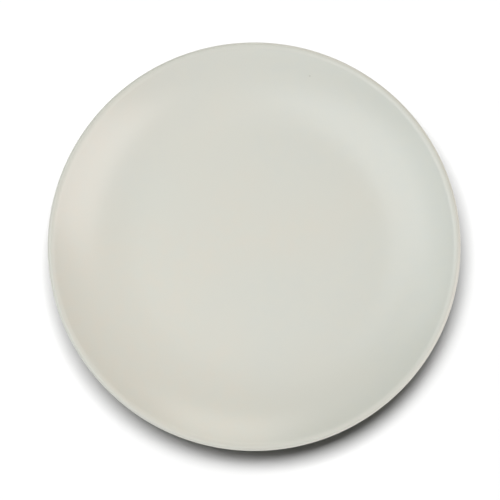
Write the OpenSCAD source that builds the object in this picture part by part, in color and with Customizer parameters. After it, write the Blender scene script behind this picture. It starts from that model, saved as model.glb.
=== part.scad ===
// Fruit plate: a round rimless coupe plate in stoneware.
// One fired clay body stands on its own foot ring. Two satin glaze coats wrap it, one sprayed
// on the face and one on the back, and a third fills the base inside the foot ring.
// Units are millimetres. Z points up and the origin is on the table, under the plate's centre.

/* [Plate] */
// Outside diameter of the finished plate
plate_d = 210; // [180:1:270]
// Height from the table to the crest of the lip
plate_h = 23; // [19:0.5:32]
// Diameter of the flat floor, where the wall starts to rise
floor_d = 123; // [100:0.5:150]
// Thickness of the clay floor, from which the wall thins towards the lip
clay_t = 4; // [3:0.1:6]

/* [Lip] */
// Radius of the shoulder that leads from the face of the wall over to the crest of the lip
lip_shoulder_r = 3.5; // [2:0.1:8]
// Radius of the outer edge, which turns from the crest of the lip down to the back
lip_edge_r = 1.1; // [0.6:0.1:1.8]

/* [Foot ring] */
// Height of the glazed base above the table
foot_h = 3.2; // [2:0.1:5]
// Width of the foot ring
foot_w = 4.4; // [3.5:0.1:8]
// Distance from the edge of the flat floor in to the outer side of the foot ring
foot_inset = 3; // [2:0.1:10]
// Rounding of the two edges of the face that the plate stands on
foot_edge_r = 0.9; // [0.3:0.1:1.5]
// Fillet where the sides of the foot ring meet the base
foot_fillet_r = 1.2; // [0.9:0.1:1.9]

/* [Glaze] */
// Thickness of the fired glaze
glaze_t = 0.4; // [0.2:0.05:0.7]
// Height above the table at which the glaze was wiped off the foot ring
glaze_line = 1.4; // [0.8:0.1:1.8]

/* [Hidden] */
$fn = 180;

// Colours of the fired glaze and of the bare clay
GLAZE_COLOUR = "#d7d6cc";
CLAY_COLOUR = "#cdbb9f";

// Radius and levels of the clay floor
floor_r = floor_d / 2;
base_z = foot_h + glaze_t;
floor_z = base_z + clay_t;

// Crest of the clay lip, and the level of its widest line
crest_r = plate_d / 2 - glaze_t - lip_edge_r;
crest_z = plate_h - glaze_t;
lip_z = crest_z - lip_edge_r;
shoulder_z = crest_z - lip_shoulder_r;

// Way from the edge of the floor out to the crest, and up to it from the face and from the back
run = crest_r - floor_r;
face_rise = crest_z - floor_z;
back_rise = crest_z - base_z;

// The face of the wall is an arc that starts level at the floor and ends tangent to the shoulder
face_r = (pow(run, 2) / face_rise + face_rise) / 2 - lip_shoulder_r;
face_centre_z = floor_z + face_r;

// Its back is an arc that starts level at the base and ends tangent to the outer edge of the lip
back_r = (pow(run, 2) / (back_rise - 2 * lip_edge_r) + back_rise) / 2;
back_centre_z = base_z + back_r;

// Foot ring, as radii
foot_outer_r = floor_r - foot_inset;
foot_inner_r = foot_outer_r - foot_w;
foot_mid_r = foot_outer_r - foot_w / 2;

// Side of a square that is larger than the whole section
reach = 2 * (plate_d + back_r);

// Flat floor, with a coat of the given thickness on both faces
module floor_section(coat) {
    translate([0, base_z - coat]) square([floor_r, clay_t + 2 * coat]);
}

// Wall between its two arcs, trimmed by the shoulder and the outer edge of the lip
module wall_section(coat) {
    difference() {
        intersection() {
            translate([floor_r, back_centre_z]) circle(r = back_r + coat);
            translate([floor_r, back_centre_z - reach]) square(reach);
        }
        translate([floor_r, face_centre_z]) circle(r = face_r - coat);
        difference() {
            shoulder_zone();
            translate([crest_r, shoulder_z]) circle(r = lip_shoulder_r + coat);
        }
        difference() {
            edge_zone();
            translate([crest_r, lip_z]) circle(r = lip_edge_r + coat);
        }
    }
}

// Zone of the shoulder, between the ray through its tangent point and the line through the crest
module shoulder_zone() {
    polygon([[crest_r, shoulder_z], [crest_r, face_centre_z], [floor_r, face_centre_z]]);
}

// Zone of the outer edge, between the line through the crest and the ray through its tangent point
module edge_zone() {
    beyond = crest_r + run;
    polygon([
        [crest_r, lip_z],
        [beyond, 2 * lip_z - back_centre_z],
        [beyond, face_centre_z],
        [crest_r, face_centre_z],
    ]);
}

// Foot ring with a flat standing face, two rounded edges and a fillet on each side
module foot_section(coat) {
    edge_r = foot_edge_r + coat;
    under_z = base_z - coat;
    translate([foot_inner_r - coat, foot_edge_r]) square([foot_w + 2 * coat, base_z - foot_edge_r]);
    translate([foot_inner_r + foot_edge_r, -coat]) square([foot_w - 2 * foot_edge_r, base_z]);
    for (edge_x = [foot_inner_r + foot_edge_r, foot_outer_r - foot_edge_r]) {
        translate([edge_x, foot_edge_r]) circle(r = edge_r);
    }
    translate([foot_outer_r + coat, under_z]) fillet_section(foot_fillet_r - coat);
    translate([foot_inner_r - coat, under_z]) mirror([1, 0]) fillet_section(foot_fillet_r - coat);
}

// Fillet below and to the right of an inner corner at the origin
module fillet_section(r) {
    difference() {
        translate([0, -r]) square(r);
        translate([r, -r]) circle(r = r);
    }
}

// Right half of the plate, cut through its axis and grown by a coat all round
module plate_section(coat = 0) {
    floor_section(coat);
    wall_section(coat);
    foot_section(coat);
}

// All the glaze in section, down to the wiped line on the foot ring
module glaze_section() {
    difference() {
        plate_section(glaze_t);
        plate_section();
        translate([0, glaze_line - reach]) square(reach);
    }
}

// Everything above a line inside the clay, which ends at the widest line of the lip
module face_side() {
    translate([0, base_z + lip_edge_r]) square([floor_r, reach]);
    translate([floor_r, back_centre_z]) circle(r = back_r - lip_edge_r);
    translate([crest_r, lip_z]) square(reach);
}

// Everything below the floor and inside the middle of the foot ring
module base_side() {
    square([foot_mid_r, base_z + clay_t / 2]);
}

// Turns a section into the full ring
module turned() {
    rotate_extrude() children();
}

module clay_body() {
    color(CLAY_COLOUR) turned() plate_section();
}

module face_glaze() {
    color(GLAZE_COLOUR) turned() intersection() {
        glaze_section();
        face_side();
    }
}

module back_glaze() {
    color(GLAZE_COLOUR) turned() difference() {
        glaze_section();
        face_side();
        base_side();
    }
}

module base_glaze() {
    color(GLAZE_COLOUR) turned() intersection() {
        glaze_section();
        base_side();
    }
}

clay_body();
face_glaze();
back_glaze();
base_glaze();
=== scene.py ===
"""Fruit plate, dressed: a fired stoneware body, three satin glaze coats and a plain studio.

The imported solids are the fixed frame. The clay and each coat are turned again here as fine meshes
from the same half section, with the slight warp of fired ware and the soft edge of wiped glaze.
"""

import logging
import math
from collections.abc import Callable
from dataclasses import dataclass
from enum import Enum
from typing import Optional, Union

import bpy
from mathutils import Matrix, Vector


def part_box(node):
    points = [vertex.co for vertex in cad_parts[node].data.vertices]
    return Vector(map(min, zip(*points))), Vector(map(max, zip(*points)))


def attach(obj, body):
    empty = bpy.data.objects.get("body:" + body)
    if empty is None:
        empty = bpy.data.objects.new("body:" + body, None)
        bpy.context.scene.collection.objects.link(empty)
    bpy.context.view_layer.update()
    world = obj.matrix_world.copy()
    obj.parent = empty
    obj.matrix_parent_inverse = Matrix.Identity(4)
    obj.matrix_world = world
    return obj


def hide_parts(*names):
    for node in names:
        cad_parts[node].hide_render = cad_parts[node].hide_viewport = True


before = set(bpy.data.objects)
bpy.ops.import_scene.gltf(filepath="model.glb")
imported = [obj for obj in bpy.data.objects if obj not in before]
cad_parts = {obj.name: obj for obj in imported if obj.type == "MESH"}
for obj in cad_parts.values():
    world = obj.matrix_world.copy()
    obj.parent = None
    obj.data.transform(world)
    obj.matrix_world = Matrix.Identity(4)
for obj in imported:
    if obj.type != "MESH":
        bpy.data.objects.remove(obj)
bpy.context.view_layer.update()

LOG = logging.getLogger("fruit_plate")
MM = 0.001

# Lengths are in metres and angles in degrees, and a point of a half section is (radius, height)
Point = tuple[float, float]
Band = tuple[float, float]
Place = tuple[float, float, float]
Tone = tuple[float, float, float]
Socket = bpy.types.NodeSocket
Value = Union[Socket, float, tuple[float, ...]]

WHITE: Tone = (1.0, 1.0, 1.0)


class Slot(Enum):
    """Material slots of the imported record."""

    CLAY = "bare_clay"
    GLAZE = "satin_glaze"


class Reach(Enum):
    """What a light reaches: one thing alone, or all but that thing."""

    ONLY = "INCLUDE"
    ALL_BUT = "EXCLUDE"


def heading(azimuth: float, elevation: float) -> Vector:
    """Gives the direction, of length 1, at an angle from +X towards +Y and one above the floor."""
    turn, rise = math.radians(azimuth), math.radians(elevation)
    return Vector((math.cos(turn) * math.cos(rise), math.sin(turn) * math.cos(rise), math.sin(rise)))


def limited(share: float) -> float:
    """Keeps a share between 0 and 1."""
    return min(1.0, max(0.0, share))


def pick(thing: bpy.types.Object) -> None:
    """Selects one object alone and makes it active.

    Args:
        thing: Object that the next operators act on.
    """
    bpy.ops.object.select_all(action="DESELECT")
    thing.select_set(True)
    bpy.context.view_layer.objects.active = thing


@dataclass(frozen=True)
class PlateSizes:
    """Real sizes of the plate.

    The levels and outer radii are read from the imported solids. The rest repeat driving dimensions
    of the solids that their boxes do not show.
    """

    plate_r: float
    plate_h: float
    lip_z: float
    floor_z: float
    base_z: float
    glaze_line: float
    foot_inner_r: float
    floor_r: float = 61.5 * MM
    shoulder_r: float = 3.5 * MM
    glaze_t: float = 0.4 * MM
    foot_w: float = 4.4 * MM
    foot_edge_r: float = 0.9 * MM
    foot_fillet_r: float = 1.2 * MM

    @classmethod
    def from_frame(cls) -> "PlateSizes":
        """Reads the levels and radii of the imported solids.

        Returns:
            The sizes of the plate.
        """
        face_low, face_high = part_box("face_glaze")
        _, back_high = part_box("back_glaze")
        base_low, base_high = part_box("base_glaze")
        return cls(
            plate_r=face_high.x,
            plate_h=face_high.z,
            lip_z=back_high.z,
            floor_z=face_low.z,
            base_z=base_high.z,
            glaze_line=base_low.z,
            foot_inner_r=base_high.x,
        )

    @property
    def crest(self) -> Point:
        """Highest line of the clay lip."""
        return self.plate_r - self.plate_h + self.lip_z, self.plate_h - self.glaze_t

    @property
    def edge_r(self) -> float:
        """Radius of the clay lip's outer edge."""
        return self.crest[1] - self.lip_z

    @property
    def edge_centre(self) -> Point:
        """Centre of the lip's outer edge, level with the widest line."""
        return self.crest[0], self.lip_z

    @property
    def shoulder_centre(self) -> Point:
        """Centre of the shoulder that leads over to the crest."""
        return self.crest[0], self.crest[1] - self.shoulder_r

    @property
    def run(self) -> float:
        """Way out from the edge of the floor to the crest."""
        return self.crest[0] - self.floor_r

    @property
    def face_r(self) -> float:
        """Radius of the wall's clay face, level at the floor and tangent to the shoulder."""
        rise = self.crest[1] - self.floor_z
        return (self.run**2 / rise + rise) / 2 - self.shoulder_r

    @property
    def face_centre(self) -> Point:
        """Centre of the arc of the wall's face."""
        return self.floor_r, self.floor_z + self.face_r

    @property
    def face_slope(self) -> float:
        """Slope at which the face of the wall meets the shoulder."""
        return math.degrees(math.asin(self.run / (self.face_r + self.shoulder_r)))

    @property
    def shoulder_start_r(self) -> float:
        """Radius at which the glazed face of the wall meets the shoulder."""
        return self.crest[0] - (self.shoulder_r + self.glaze_t) * math.sin(math.radians(self.face_slope))

    @property
    def back_r(self) -> float:
        """Radius of the wall's clay back, level at the base and tangent to the lip's outer edge."""
        rise = self.crest[1] - self.base_z
        return (self.run**2 / (rise - 2 * self.edge_r) + rise) / 2

    @property
    def back_centre(self) -> Point:
        """Centre of the arc of the wall's back."""
        return self.floor_r, self.base_z + self.back_r

    @property
    def back_slope(self) -> float:
        """Slope at which the back of the wall meets the lip's outer edge."""
        return math.degrees(math.asin(self.run / (self.back_r - self.edge_r)))

    @property
    def foot_outer_r(self) -> float:
        """Outer radius of the bare foot ring."""
        return self.foot_inner_r + self.foot_w

    @property
    def foot_flank_top(self) -> float:
        """Height at which the straight flanks of the foot ring end in their fillets."""
        return self.base_z - self.foot_fillet_r

    @property
    def wiped_z(self) -> float:
        """Height of the centre of the round edge in which a wiped coat ends."""
        return self.glaze_line + self.glaze_t / 2


class Outline:
    """A half section drawn in the XZ plane by extruding one point, then turned about Z."""

    # Usual edge of a straight stretch, facets of a full turn, and the gap within which points merge
    LINE_STEP = 3.0 * MM
    TURN_STEPS = 288
    MERGE = 0.001 * MM

    def __init__(self, name: str, start: Point) -> None:
        """Starts a new mesh with one point.

        Args:
            name: Name of the piece.
            start: First point of the half section.
        """
        bpy.ops.object.select_all(action="DESELECT")
        bpy.ops.mesh.primitive_plane_add(size=MM, location=(start[0], 0.0, start[1]))
        self.piece = bpy.context.object
        self.piece.name = name
        self.piece.data.name = name
        bpy.ops.object.transform_apply(location=True)
        bpy.ops.object.mode_set(mode="EDIT")
        bpy.ops.mesh.select_mode(type="VERT")
        bpy.ops.mesh.select_all(action="SELECT")
        bpy.ops.mesh.merge(type="CENTER")
        self.at = start

    def step_to(self, r: float, z: float) -> None:
        """Extrudes one edge to a point.

        Args:
            r: Radius of the point.
            z: Height of the point.
        """
        move = (r - self.at[0], 0.0, z - self.at[1])
        bpy.ops.mesh.extrude_region_move(TRANSFORM_OT_translate={"value": move})
        self.at = (r, z)

    def line_to(self, r: float, z: float, step: float = LINE_STEP) -> None:
        """Extrudes a straight stretch to a point.

        Args:
            r: Radius of the end point.
            z: Height of the end point.
            step: Usual edge along the stretch.
        """
        start = self.at
        parts = max(1, round(math.dist(start, (r, z)) / step))
        for part in range(1, parts + 1):
            share = part / parts
            self.step_to(start[0] + (r - start[0]) * share, start[1] + (z - start[1]) * share)

    def arc(self, centre: Point, end_angle: float, step: float) -> None:
        """Extrudes an arc about a centre, from the last point to an angle.

        Args:
            centre: Centre of the arc.
            end_angle: Angle of the end point about the centre, from the radius axis towards Z.
            step: Usual turn of one edge.
        """
        radius = math.dist(self.at, centre)
        start_angle = math.degrees(math.atan2(self.at[1] - centre[1], self.at[0] - centre[0]))
        sweep = end_angle - start_angle
        parts = max(1, round(abs(sweep) / step))
        for part in range(1, parts + 1):
            angle = math.radians(start_angle + sweep * part / parts)
            self.step_to(centre[0] + radius * math.cos(angle), centre[1] + radius * math.sin(angle))

    def turn(self) -> bpy.types.Object:
        """Spins the half section into a closed piece with outward normals.

        Returns:
            The turned mesh object, at the origin.
        """
        bpy.ops.mesh.select_all(action="SELECT")
        bpy.ops.mesh.remove_doubles(threshold=self.MERGE)
        bpy.ops.mesh.select_all(action="SELECT")
        bpy.ops.mesh.spin(steps=self.TURN_STEPS, angle=math.tau, center=(0, 0, 0), axis=(0, 0, 1))
        bpy.ops.mesh.select_all(action="SELECT")
        bpy.ops.mesh.remove_doubles(threshold=self.MERGE)
        bpy.ops.mesh.normals_make_consistent(inside=False)
        bpy.ops.object.mode_set(mode="OBJECT")
        return self.piece


@dataclass(frozen=True)
class Unevenness:
    """A gentle wave in height, as a kiln or a wiping sponge leaves it."""

    name: str
    height: float
    size: float

    # Octaves of the wave's noise, and the level of it that moves nothing
    OCTAVES = 1
    STILL_LEVEL = 0.5

    def apply(self, piece: bpy.types.Object, share: Callable[[Vector], float]) -> None:
        """Moves the points of a piece up and down.

        Args:
            piece: Piece that is changed.
            share: Gives the part of the wave, from 0 to 1, that a point takes.
        """
        pick(piece)
        group = piece.vertex_groups.new(name=self.name)
        for vertex in piece.data.vertices:
            group.add([vertex.index], share(vertex.co), "REPLACE")
        wave = bpy.data.textures.new(self.name, type="CLOUDS")
        wave.noise_scale = self.size
        wave.noise_depth = self.OCTAVES
        modifier = piece.modifiers.new(self.name, "DISPLACE")
        modifier.texture = wave
        modifier.texture_coords = "LOCAL"
        modifier.direction = "Z"
        modifier.mid_level = self.STILL_LEVEL
        modifier.strength = self.height
        modifier.vertex_group = group.name
        bpy.ops.object.modifier_apply(modifier=modifier.name)
        piece.vertex_groups.clear()


@dataclass(frozen=True)
class Pattern:
    """A noise pattern from 0 to 1: the size of its largest features, and its octaves of detail.

    The band holds the levels of the noise between which a finish changes.
    """

    size: float
    detail: float = 2.0
    band: Band = (0.3, 0.7)


class ShaderNodes:
    """Adds nodes to one material in plain steps."""

    def __init__(self, name: str) -> None:
        """Makes a material with its principled shader and object coordinates.

        Args:
            name: Name of the material.
        """
        self.material = bpy.data.materials.new(name)
        self.material.use_nodes = True
        self.tree = self.material.node_tree
        self.shader = self.tree.nodes["Principled BSDF"]
        self.place = self.tree.nodes.new("ShaderNodeTexCoord").outputs["Object"]

    def put(self, socket: Socket, value: Value) -> None:
        """Links a socket to another one, or sets its value.

        Args:
            socket: Input socket.
            value: Output socket, a number or a vector.
        """
        if isinstance(value, Socket):
            self.tree.links.new(value, socket)
        else:
            socket.default_value = value

    def dress(self, name: str, value: Value) -> None:
        """Links or sets an input of the shader by its name."""
        self.put(self.shader.inputs[name], value)

    def noise(self, pattern: Pattern) -> Socket:
        """Adds a noise pattern.

        Args:
            pattern: Size and detail of the noise.

        Returns:
            The noise, from 0 to 1.
        """
        node = self.tree.nodes.new("ShaderNodeTexNoise")
        self.put(node.inputs["Vector"], self.place)
        self.put(node.inputs["Scale"], 1.0 / pattern.size)
        self.put(node.inputs["Detail"], pattern.detail)
        return node.outputs["Fac"]

    def calculate(self, operation: str, *values: Value) -> Socket:
        """Adds a math node.

        Args:
            operation: Blender's name of the operation.
            values: Sockets or numbers that it works on.

        Returns:
            The result.
        """
        node = self.tree.nodes.new("ShaderNodeMath")
        node.operation = operation
        for socket, value in zip(node.inputs, values):
            self.put(socket, value)
        return node.outputs["Value"]

    def vector(self, operation: str, first: Socket, second: Place, output: str) -> Socket:
        """Adds a vector math node.

        Args:
            operation: Blender's name of the operation.
            first: Vector that it works on.
            second: Second vector.
            output: Name of the output that is used.

        Returns:
            The result.
        """
        node = self.tree.nodes.new("ShaderNodeVectorMath")
        node.operation = operation
        self.put(node.inputs[0], first)
        self.put(node.inputs[1], second)
        return node.outputs[output]

    def radius(self) -> Socket:
        """Gives the distance from the plate's axis."""
        level = self.vector("MULTIPLY", self.place, (1.0, 1.0, 0.0), "Vector")
        return self.vector("DISTANCE", level, (0.0, 0.0, 0.0), "Value")

    def height(self) -> Socket:
        """Gives the height above the table."""
        return self.vector("DOT_PRODUCT", self.place, (0.0, 0.0, 1.0), "Value")

    def spread(self, value: Socket, band: Band, ends: Band = (0.0, 1.0)) -> Socket:
        """Maps a band of a value to another range, eased and clamped at both ends.

        Args:
            value: Socket to map.
            band: Values that are read at the start and at the end.
            ends: Results at the start and at the end.

        Returns:
            The mapped value.
        """
        node = self.tree.nodes.new("ShaderNodeMapRange")
        node.interpolation_type = "SMOOTHSTEP"
        self.put(node.inputs["Value"], value)
        self.put(node.inputs["From Min"], band[0])
        self.put(node.inputs["From Max"], band[1])
        self.put(node.inputs["To Min"], ends[0])
        self.put(node.inputs["To Max"], ends[1])
        return node.outputs["Result"]

    def patches(self, pattern: Pattern, ends: Band = (0.0, 1.0)) -> Socket:
        """Adds soft patches of noise, with the results below and above the pattern's band."""
        return self.spread(self.noise(pattern), pattern.band, ends)

    def mix(self, share: Value, first: Value, second: Value) -> Socket:
        """Mixes two colours.

        Args:
            share: Share of the second colour.
            first: First colour.
            second: Second colour.

        Returns:
            The mixed colour.
        """
        node = self.tree.nodes.new("ShaderNodeMix")
        node.data_type = "RGBA"
        self.put(node.inputs["Factor"], share)
        colours = [socket for socket in node.inputs if socket.type == "RGBA"]
        for socket, colour in zip(colours, (first, second)):
            self.put(socket, colour if isinstance(colour, Socket) else (*colour, 1.0))
        return next(socket for socket in node.outputs if socket.type == "RGBA")

    def bump(self, height: Socket, depth: float, below: Optional[Socket] = None) -> Socket:
        """Adds a bump of a real depth.

        Args:
            height: Pattern from 0 to 1.
            depth: Height of the pattern.
            below: Normal of the bump under this one.

        Returns:
            The bumped normal.
        """
        node = self.tree.nodes.new("ShaderNodeBump")
        self.put(node.inputs["Distance"], depth)
        self.put(node.inputs["Height"], height)
        if below is not None:
            self.put(node.inputs["Normal"], below)
        return node.outputs["Normal"]


@dataclass(frozen=True)
class SatinGlaze:
    """Satin ivory glaze: an even tone with faint drift and mottle, a painted warm-to-cool light cast, a
    lip darkened partly by painted shade, and a soft skin.
    """

    sizes: PlateSizes
    tone: Tone = (0.666, 0.665, 0.593)
    warm_tone: Tone = (0.681, 0.663, 0.583)
    cool_tone: Tone = (0.655, 0.660, 0.596)
    drift: Pattern = Pattern(70 * MM, band=(0.35, 0.65))
    # The drift carries painted light: a warm-to-cool cast of the lamps, warm at the front left and cool
    # at the back right, by this much per metre
    painted_light_lean: Place = (1.3, 0.75, 0.0)
    mottle: Pattern = Pattern(7 * MM, 4.0)
    mottle_share: float = 0.8
    # Darker towards the lip's edge: partly the glaze thinning there, partly painted shade where the edge
    # turns from the light
    lip_glaze_and_shade_tone: Tone = (0.585, 0.575, 0.505)
    lip_glaze_and_shade_share: float = 0.6
    # One iron speck shows through the face, high on the back wall, darkest within its core
    speck_tone: Tone = (0.300, 0.265, 0.205)
    speck_at: Place = (28.5 * MM, 88.45 * MM, 16.5 * MM)
    speck_r: float = 0.7 * MM
    speck_core: float = 1 / 3
    speck_share: float = 0.28
    roughness: float = 0.30
    roughness_drift: float = 0.025
    grain: Pattern = Pattern(0.8 * MM, 4.0)
    skin: Pattern = Pattern(1.8 * MM)
    skin_depth: float = 0.006 * MM

    NAME = "ivory_satin_glaze"

    def colour(self, nodes: ShaderNodes) -> Socket:
        """Builds the colour: drift with a painted light cast, mottle, a lip darkened partly where the
        glaze thins and partly by painted shade, and the speck.

        Args:
            nodes: Nodes of the material.

        Returns:
            The colour.
        """
        # Painted light: a warm cast of the lamps at the front left, turning cool at the back right,
        # added to the drift
        painted_lean = nodes.vector("DOT_PRODUCT", nodes.place, self.painted_light_lean, "Value")
        cloud = nodes.calculate("ADD", nodes.noise(self.drift), painted_lean)
        colour = nodes.mix(nodes.spread(cloud, self.drift.band), self.warm_tone, self.cool_tone)
        colour = nodes.mix(nodes.patches(self.mottle, (0.0, self.mottle_share)), colour, self.tone)
        # Painted shade and thinning glaze darken the lip towards its edge
        lip = (self.sizes.shoulder_start_r, self.sizes.plate_r)
        thin_glaze_and_shade = nodes.spread(nodes.radius(), lip, (0.0, self.lip_glaze_and_shade_share))
        colour = nodes.mix(thin_glaze_and_shade, colour, self.lip_glaze_and_shade_tone)
        away = nodes.vector("DISTANCE", nodes.place, self.speck_at, "Value")
        speck_band = (self.speck_r * self.speck_core, self.speck_r)
        speck = nodes.spread(away, speck_band, (self.speck_share, 0.0))
        return nodes.mix(speck, colour, self.speck_tone)

    def material(self) -> bpy.types.Material:
        """Builds the glaze from nodes.

        Returns:
            The material.
        """
        nodes = ShaderNodes(self.NAME)
        nodes.dress("Base Color", self.colour(nodes))
        smooth, dull = self.roughness - self.roughness_drift, self.roughness + self.roughness_drift
        nodes.dress("Roughness", nodes.patches(self.grain, (smooth, dull)))
        nodes.dress("Normal", nodes.bump(nodes.noise(self.skin), self.skin_depth))
        return nodes.material


@dataclass(frozen=True)
class BareClay:
    """Unglazed stoneware: sandy buff with darker grog, toasted beside the glaze and sanded in rings."""

    sizes: PlateSizes
    tone: Tone = (0.560, 0.455, 0.330)
    pale_tone: Tone = (0.640, 0.550, 0.430)
    cloud: Pattern = Pattern(9 * MM, 3.0)
    grog_tone: Tone = (0.330, 0.235, 0.150)
    grog: Pattern = Pattern(0.7 * MM, 1.0, (0.62, 0.70))
    grog_share: float = 0.7
    toasted_tone: Tone = (0.430, 0.290, 0.165)
    toasted_share: float = 0.55
    roughness: float = 0.85
    grain: Pattern = Pattern(0.25 * MM, 3.0)
    grain_depth: float = 0.03 * MM
    ring_gap: float = 0.55 * MM
    ring_depth: float = 0.03 * MM
    ring_sway: Pattern = Pattern(9 * MM)

    NAME = "buff_bare_clay"

    def colour(self, nodes: ShaderNodes) -> Socket:
        """Builds the colour: pale clouds, grog, and a toasted tone towards the glaze.

        Args:
            nodes: Nodes of the material.

        Returns:
            The colour.
        """
        colour = nodes.mix(nodes.patches(self.cloud), self.tone, self.pale_tone)
        colour = nodes.mix(nodes.patches(self.grog, (0.0, self.grog_share)), colour, self.grog_tone)
        flank = (self.sizes.foot_edge_r / 2, self.sizes.glaze_line)
        toasted = nodes.spread(nodes.height(), flank, (0.0, self.toasted_share))
        return nodes.mix(toasted, colour, self.toasted_tone)

    def rings(self, nodes: ShaderNodes) -> Socket:
        """Builds the faint rings that sanding leaves as the plate turns.

        Args:
            nodes: Nodes of the material.

        Returns:
            The rings, from 0 to 1.
        """
        sway = nodes.calculate("MULTIPLY", nodes.noise(self.ring_sway), self.ring_gap)
        turns = nodes.calculate("DIVIDE", nodes.calculate("ADD", nodes.radius(), sway), self.ring_gap)
        wave = nodes.calculate("SINE", nodes.calculate("MULTIPLY", turns, math.tau))
        return nodes.spread(wave, (-1.0, 1.0))

    def material(self) -> bpy.types.Material:
        """Builds the clay from nodes.

        Returns:
            The material.
        """
        nodes = ShaderNodes(self.NAME)
        nodes.dress("Base Color", self.colour(nodes))
        nodes.dress("Roughness", self.roughness)
        sanded = nodes.bump(self.rings(nodes), self.ring_depth)
        nodes.dress("Normal", nodes.bump(nodes.noise(self.grain), self.grain_depth, sanded))
        return nodes.material


@dataclass
class TurnedPiece:
    """A piece that is turned about the plate's axis and rides on its one body."""

    sizes: PlateSizes
    material: bpy.types.Material

    NAME = ""
    NODE = ""
    SLOT = Slot.GLAZE
    SMOOTH_ANGLE = math.radians(35)
    WARP = Unevenness("kiln_warp", 0.3 * MM, 80 * MM)
    WIPE = Unevenness("wiped_edge", 0.5 * MM, 6 * MM)

    # Usual turn of one edge along each arc of the half section
    WALL_STEP = 1.0
    SHOULDER_STEP = 2.0
    EDGE_STEP = 6.0
    SMALL_STEP = 7.5
    END_STEP = 22.5
    HIDDEN_STEP = 5.0

    def draw(self) -> Outline:
        """Draws the half section of the piece."""
        raise NotImplementedError

    def warp_share(self, point: Vector) -> float:
        """Gives the part of the kiln's warp at a point: none on the floor, all at the lip."""
        out = (point.xy.length - self.sizes.floor_r) / (self.sizes.plate_r - self.sizes.floor_r)
        return limited(out) ** 2

    def wipe_share(self, point: Vector) -> float:
        """Gives the part of the wiped edge's wave at a point: all at the line, none at the fillet.

        Args:
            point: Point of the piece.

        Returns:
            The part, from 0 to 1.
        """
        top, line = self.sizes.foot_flank_top, self.sizes.wiped_z
        near_foot = point.xy.length < self.sizes.foot_outer_r + self.sizes.foot_fillet_r
        return limited((top - point.z) / (top - line)) if near_foot else 0.0

    def build(self) -> bpy.types.Object:
        """Turns the half section, dresses the piece and puts it in its node's place.

        Returns:
            The finished piece.
        """
        piece = self.draw().turn()
        self.WARP.apply(piece, self.warp_share)
        if self.SLOT is Slot.GLAZE:
            self.WIPE.apply(piece, self.wipe_share)
        pick(piece)
        bpy.ops.object.shade_smooth_by_angle(angle=self.SMOOTH_ANGLE)
        piece.data.materials.append(self.material)
        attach(piece, "root")
        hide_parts(self.NODE)
        LOG.info("%s: %d faces in place of %s", piece.name, len(piece.data.polygons), self.NODE)
        return piece


class FaceCoat(TurnedPiece):
    """Glaze on the eating side, over the lip to its widest line."""

    NAME = "face_coat"
    NODE = "face_glaze"

    def draw(self) -> Outline:
        """Draws the coat from the axis out over the lip, and back along the clay.

        Returns:
            The half section.
        """
        size = self.sizes
        outline = Outline(self.NAME, (0.0, size.floor_z + size.glaze_t))
        outline.line_to(size.floor_r, size.floor_z + size.glaze_t)
        outline.arc(size.face_centre, size.face_slope - 90, self.WALL_STEP)
        outline.arc(size.shoulder_centre, 90, self.SHOULDER_STEP)
        outline.arc(size.edge_centre, 0.0, self.EDGE_STEP)
        outline.line_to(size.plate_r - size.glaze_t, size.lip_z)
        outline.arc(size.edge_centre, 90, self.END_STEP)
        outline.arc(size.shoulder_centre, 90 + size.face_slope, self.HIDDEN_STEP)
        outline.arc(size.face_centre, -90, self.HIDDEN_STEP)
        outline.line_to(0.0, size.floor_z, size.floor_r)
        return outline


class BackCoat(TurnedPiece):
    """Glaze on the back, from the widest line of the lip down to the wiped foot ring."""

    NAME = "back_coat"
    NODE = "back_glaze"

    def draw(self) -> Outline:
        """Draws the coat from the lip down to the foot ring, and back along the clay.

        Returns:
            The half section.
        """
        size = self.sizes
        end = (size.foot_outer_r + size.glaze_t / 2, size.wiped_z)
        fillet = (size.foot_outer_r + size.foot_fillet_r, size.foot_flank_top)
        outline = Outline(self.NAME, (size.plate_r, size.lip_z))
        outline.arc(size.edge_centre, size.back_slope - 90, self.EDGE_STEP)
        outline.arc(size.back_centre, -90, self.WALL_STEP)
        outline.line_to(fillet[0], size.base_z - size.glaze_t)
        outline.arc(fillet, 180, self.SMALL_STEP)
        outline.line_to(size.foot_outer_r + size.glaze_t, end[1], size.glaze_t)
        outline.arc(end, -180, self.END_STEP)
        outline.line_to(size.foot_outer_r, size.foot_flank_top, size.glaze_t)
        outline.arc(fillet, 90, self.SMALL_STEP)
        outline.line_to(size.floor_r, size.base_z)
        outline.arc(size.back_centre, size.back_slope - 90, self.HIDDEN_STEP)
        outline.arc(size.edge_centre, 0.0, self.END_STEP)
        outline.line_to(size.plate_r, size.lip_z)
        return outline


class BaseCoat(TurnedPiece):
    """Glaze on the base, inside the foot ring."""

    NAME = "base_coat"
    NODE = "base_glaze"

    def draw(self) -> Outline:
        """Draws the coat from the axis along the clay, and back along its own face.

        Returns:
            The half section.
        """
        size = self.sizes
        end = (size.foot_inner_r - size.glaze_t / 2, size.wiped_z)
        fillet = (size.foot_inner_r - size.foot_fillet_r, size.foot_flank_top)
        outline = Outline(self.NAME, (0.0, size.base_z))
        outline.line_to(fillet[0], size.base_z, size.floor_r)
        outline.arc(fillet, 0.0, self.SMALL_STEP)
        outline.line_to(size.foot_inner_r, end[1], size.glaze_t)
        outline.arc(end, -180, self.END_STEP)
        outline.line_to(size.foot_inner_r - size.glaze_t, size.foot_flank_top, size.glaze_t)
        outline.arc(fillet, 90, self.SMALL_STEP)
        outline.line_to(0.0, size.base_z - size.glaze_t)
        return outline


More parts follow.
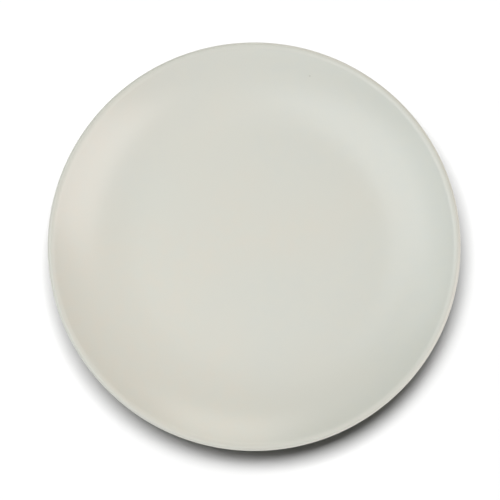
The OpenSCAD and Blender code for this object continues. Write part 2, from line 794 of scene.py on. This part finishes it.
class ClayBody(TurnedPiece):
    """The fired clay, bare only on its foot ring."""

    NAME = "stoneware_body"
    NODE = "clay_body"
    SLOT = Slot.CLAY

    def draw(self) -> Outline:
        """Draws the body from the axis over the lip to the foot ring and back to the axis.

        Returns:
            The half section.
        """
        size = self.sizes
        outer, inner = size.foot_outer_r, size.foot_inner_r
        edge, fillet = size.foot_edge_r, size.foot_fillet_r
        outline = Outline(self.NAME, (0.0, size.floor_z))
        outline.line_to(size.floor_r, size.floor_z, size.floor_r)
        outline.arc(size.face_centre, size.face_slope - 90, self.HIDDEN_STEP)
        outline.arc(size.shoulder_centre, 90, self.HIDDEN_STEP)
        outline.arc(size.edge_centre, size.back_slope - 90, self.END_STEP)
        outline.arc(size.back_centre, -90, self.HIDDEN_STEP)
        outline.line_to(outer + fillet, size.base_z)
        outline.arc((outer + fillet, size.foot_flank_top), 180, self.SMALL_STEP)
        outline.line_to(outer, edge, edge)
        outline.arc((outer - edge, edge), -90, self.SMALL_STEP)
        outline.line_to(inner + edge, 0.0, edge)
        outline.arc((inner + edge, edge), -180, self.SMALL_STEP)
        outline.line_to(inner, size.foot_flank_top, edge)
        outline.arc((inner - fillet, size.foot_flank_top), 90, self.SMALL_STEP)
        outline.line_to(0.0, size.base_z, size.floor_r)
        return outline


@dataclass(frozen=True)
class SoftBox:
    """A studio light with a wide soft face that is turned to the plate. Its power is in watts."""

    name: str
    azimuth: float
    elevation: float
    width: float
    height: float
    power: float
    tone: Tone = WHITE
    distance: float = 1.3

    def place(self, target: Vector) -> bpy.types.Object:
        """Adds the light.

        Args:
            target: Point that the light faces.

        Returns:
            The light.
        """
        away = heading(self.azimuth, self.elevation)
        bpy.ops.object.select_all(action="DESELECT")
        bpy.ops.object.light_add(type="AREA", location=target + away * self.distance)
        light = bpy.context.object
        light.name = self.name
        light.rotation_euler = away.to_track_quat("Z", "Y").to_euler()
        light.data.shape = "RECTANGLE"
        light.data.size = self.width
        light.data.size_y = self.height
        light.data.energy = self.power
        light.data.color = self.tone
        return light


@dataclass(frozen=True)
class Studio:
    """Plain pale floor, soft light and the camera of the photograph."""

    sizes: PlateSizes
    # The lens and sensor are in millimetres
    lens: float = 300.0
    sensor: float = 36.0
    near_clip: float = 10 * MM
    camera_elevation: float = 81.6
    # Side of the photograph, and the plate's radius and centre in it, in pixels
    image_side: float = 500.0
    plate_px: float = 206.5
    centre_px: tuple[float, float] = (254.2, 246.65)
    floor_side: float = 12.0
    floor_tone: Tone = (0.40, 0.40, 0.40)
    floor_roughness: float = 0.9
    floor_specular: float = 0.1
    sky_strength: float = 0.05
    # The floor has a box of its own, so that the plate's shadow falls to the front
    floor_box: SoftBox = SoftBox("floor_box", 112, 76.5, 8.6, 5.4, 4680, distance=13.0)
    # Each box has its azimuth, elevation, width, height, power and tone
    boxes: tuple[SoftBox, ...] = (
        SoftBox("left_key", 196, 64.5, 1.07, 0.84, 6.40, (0.95, 0.97, 1.00)),
        SoftBox("right_key", 344, 34, 0.98, 1.23, 11.8, (1.00, 0.94, 0.93)),
        SoftBox("front_strip", 260, 18.3, 2.60, 0.22, 4.76, (0.86, 0.93, 1.00)),
        SoftBox("back_fill", 83, 21, 0.69, 0.78, 4.07, (1.00, 0.98, 0.92)),
        SoftBox("left_fill", 178, 34, 1.45, 0.91, 6.87, (0.92, 0.98, 1.00)),
        SoftBox("top_fill", 87, 80, 1.69, 0.87, 1.76),
    )

    def build(self) -> None:
        """Adds the floor, the lights, the sky and the camera."""
        floor = self.add_floor()
        target = Vector((0.0, 0.0, self.sizes.floor_z))
        not_floor = self.light_group(floor, Reach.ALL_BUT)
        for box in self.boxes:
            box.place(target).light_linking.receiver_collection = not_floor
        only_floor = self.light_group(floor, Reach.ONLY)
        self.floor_box.place(target).light_linking.receiver_collection = only_floor
        self.add_sky()
        self.add_camera()
        bpy.context.scene.view_settings.view_transform = "Standard"
        LOG.info("studio: %d soft boxes", len(self.boxes) + 1)

    def light_group(self, thing: bpy.types.Object, reach: Reach) -> bpy.types.Collection:
        """Makes a group that links lights to one thing, or to all but that thing.

        Args:
            thing: Object that the group names.
            reach: Whether the lights reach that thing alone, or all but it.

        Returns:
            The group.
        """
        group = bpy.data.collections.new(f"{reach.name.lower()}_{thing.name}")
        group.objects.link(thing)
        group.collection_objects[0].light_linking.link_state = reach.value
        return group

    def add_floor(self) -> bpy.types.Object:
        """Adds the floor that the plate stands on.

        Returns:
            The floor.
        """
        bpy.ops.object.select_all(action="DESELECT")
        bpy.ops.mesh.primitive_plane_add(size=self.floor_side, location=(0.0, 0.0, 0.0))
        floor = bpy.context.object
        floor.name = "floor"
        nodes = ShaderNodes("pale_floor")
        nodes.dress("Base Color", (*self.floor_tone, 1.0))
        nodes.dress("Roughness", self.floor_roughness)
        nodes.dress("Specular IOR Level", self.floor_specular)
        floor.data.materials.append(nodes.material)
        return floor

    def add_sky(self) -> None:
        """Adds the even light of a white room, which the camera sees as plain white."""
        world = bpy.data.worlds.new("white_room")
        world.use_nodes = True
        tree = world.node_tree
        light = tree.nodes["Background"]
        light.inputs["Color"].default_value = (*WHITE, 1.0)
        light.inputs["Strength"].default_value = self.sky_strength
        backdrop = tree.nodes.new("ShaderNodeBackground")
        backdrop.inputs["Color"].default_value = (*WHITE, 1.0)
        seen = tree.nodes.new("ShaderNodeLightPath").outputs["Is Camera Ray"]
        mix = tree.nodes.new("ShaderNodeMixShader")
        tree.links.new(seen, mix.inputs["Fac"])
        tree.links.new(light.outputs["Background"], mix.inputs[1])
        tree.links.new(backdrop.outputs["Background"], mix.inputs[2])
        tree.links.new(mix.outputs["Shader"], tree.nodes["World Output"].inputs["Surface"])
        bpy.context.scene.world = world

    def add_camera(self) -> None:
        """Adds the camera at the photograph's angle, distance and framing."""
        metres_per_px = self.sizes.plate_r / self.plate_px
        distance = metres_per_px * self.image_side * self.lens / self.sensor
        back = heading(-90.0, self.camera_elevation)
        up = heading(90.0, 90.0 - self.camera_elevation)
        # The near half of the rim looks larger, so the middle of its outline lies below its centre
        sink = self.sizes.plate_r**2 * back.z * up.z / distance
        aside = (self.image_side / 2 - self.centre_px[0]) * metres_per_px
        above = (self.centre_px[1] - self.image_side / 2) * metres_per_px - sink
        target = Vector((aside, 0.0, self.sizes.lip_z)) + up * above
        bpy.ops.object.select_all(action="DESELECT")
        bpy.ops.object.camera_add(location=target + back * distance)
        camera = bpy.context.object
        camera.name = "photo_camera"
        camera.rotation_euler = back.to_track_quat("Z", "Y").to_euler()
        camera.data.lens = self.lens
        camera.data.sensor_width = self.sensor
        camera.data.clip_start = self.near_clip
        bpy.context.scene.camera = camera


def main() -> None:
    """Builds the plate and its studio in order."""
    logging.basicConfig(level=logging.INFO, format="%(name)s: %(message)s")
    sizes = PlateSizes.from_frame()
    LOG.info("plate radius %.2f mm, face slope %.2f degrees", sizes.plate_r / MM, sizes.face_slope)
    glaze = SatinGlaze(sizes).material()
    ClayBody(sizes, BareClay(sizes).material()).build()
    for coat in (FaceCoat, BackCoat, BaseCoat):
        coat(sizes, glaze).build()
    Studio(sizes).build()


if __name__ == "__main__":
    main()
